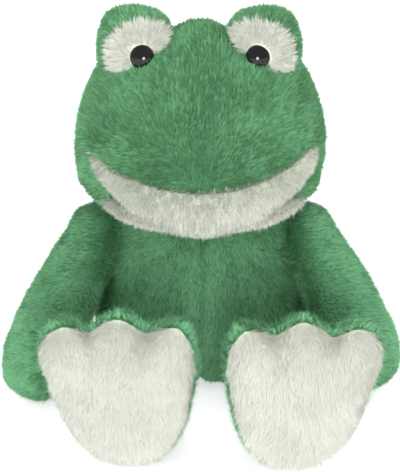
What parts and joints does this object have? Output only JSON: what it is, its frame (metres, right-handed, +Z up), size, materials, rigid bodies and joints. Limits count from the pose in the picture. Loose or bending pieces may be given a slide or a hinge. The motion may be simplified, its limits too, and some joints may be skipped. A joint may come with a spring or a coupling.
{
  "type": "plush frog",
  "caption": "Seated plush frog with raised eye bumps, a wide cream mouth band, hanging arms and large forward-facing feet with cream soles",
  "frame": {"origin": "on the floor, in the middle of the space that the frog takes", "axes": "+Z up, the frog faces -Y, +X on the frog's left"},
  "size_m": [0.3204, 0.2833, 0.3244],
  "materials": {
    "green_plush": "short furry pile",
    "cream_plush": "long furry pile",
    "polyester_stuffing": "loose fibre",
    "pellet_bag_cloth": "plain weave",
    "eye_plastic": "glossy",
    "washer_plastic": "matte"
  },
  "bodies": {
    "torso": {"belly_panel_right": "green_plush", "belly_panel_left": "green_plush", "back_panel": "green_plush", "torso_stuffing": "polyester_stuffing", "pellet_bag": "pellet_bag_cloth"},
    "head": {"face_panel": "green_plush", "head_back_panel": "green_plush", "head_stuffing": "polyester_stuffing", "lip_panel": "cream_plush", "lip_stuffing": "polyester_stuffing", "chin_panel": "cream_plush", "bump_back_right": "green_plush", "bump_back_left": "green_plush", "eye_patch_right": "cream_plush", "eye_patch_left": "cream_plush", "bump_stuffing_right": "polyester_stuffing", "bump_stuffing_left": "polyester_stuffing", "eye_right": "eye_plastic", "eye_left": "eye_plastic", "eye_washer_right": "washer_plastic", "eye_washer_left": "washer_plastic"},
    "arm_right": {"arm_skin_right": "green_plush", "arm_stuffing_right": "polyester_stuffing"},
    "arm_left": {"arm_skin_left": "green_plush", "arm_stuffing_left": "polyester_stuffing"},
    "leg_right": {"leg_skin_right": "green_plush", "leg_stuffing_right": "polyester_stuffing"},
    "leg_left": {"leg_skin_left": "green_plush", "leg_stuffing_left": "polyester_stuffing"},
    "foot_right": {"foot_sole_right": "cream_plush", "foot_upper_right": "green_plush", "foot_stuffing_right": "polyester_stuffing"},
    "foot_left": {"foot_sole_left": "cream_plush", "foot_upper_left": "green_plush", "foot_stuffing_left": "polyester_stuffing"}
  },
  "joints": [
    {"name": "head_turn", "type": "hinge", "parent": "torso", "child": "head", "pos_m": [0, 0.0715, 0.15], "axis": [0, 0, 1], "range_deg": [-40, 40], "stiffness_Nm_per_rad": 0.3},
    {"name": "arm_swing_right", "type": "hinge", "parent": "torso", "child": "arm_right", "pos_m": [-0.07199, 0.0675, 0.115], "axis": [-0.8489, -0.2275, 0.4772], "range_deg": [-40, 22], "stiffness_Nm_per_rad": 0.2},
    {"name": "arm_swing_left", "type": "hinge", "parent": "torso", "child": "arm_left", "pos_m": [0.07425, 0.0675, 0.115], "axis": [0.8645, -0.2156, 0.454], "range_deg": [-22, 40], "stiffness_Nm_per_rad": 0.2},
    {"name": "hip_right", "type": "hinge", "parent": "torso", "child": "leg_right", "pos_m": [-0.05, 0.0075, 0.02668], "axis": [1, 0, 0], "range_deg": [-15, 10], "stiffness_Nm_per_rad": 0.3},
    {"name": "hip_left", "type": "hinge", "parent": "torso", "child": "leg_left", "pos_m": [0.052, 0.0075, 0.02668], "axis": [1, 0, 0], "range_deg": [-15, 10], "stiffness_Nm_per_rad": 0.3},
    {"name": "ankle_right", "type": "hinge", "parent": "leg_right", "child": "foot_right", "pos_m": [-0.053, -0.076, 0.0223], "axis": [1, 0, 0], "range_deg": [-15, 10], "stiffness_Nm_per_rad": 0.2},
    {"name": "ankle_left", "type": "hinge", "parent": "leg_left", "child": "foot_left", "pos_m": [0.064, -0.0825, 0.0223], "axis": [1, 0, 0], "range_deg": [-15, 10], "stiffness_Nm_per_rad": 0.2}
  ]
}
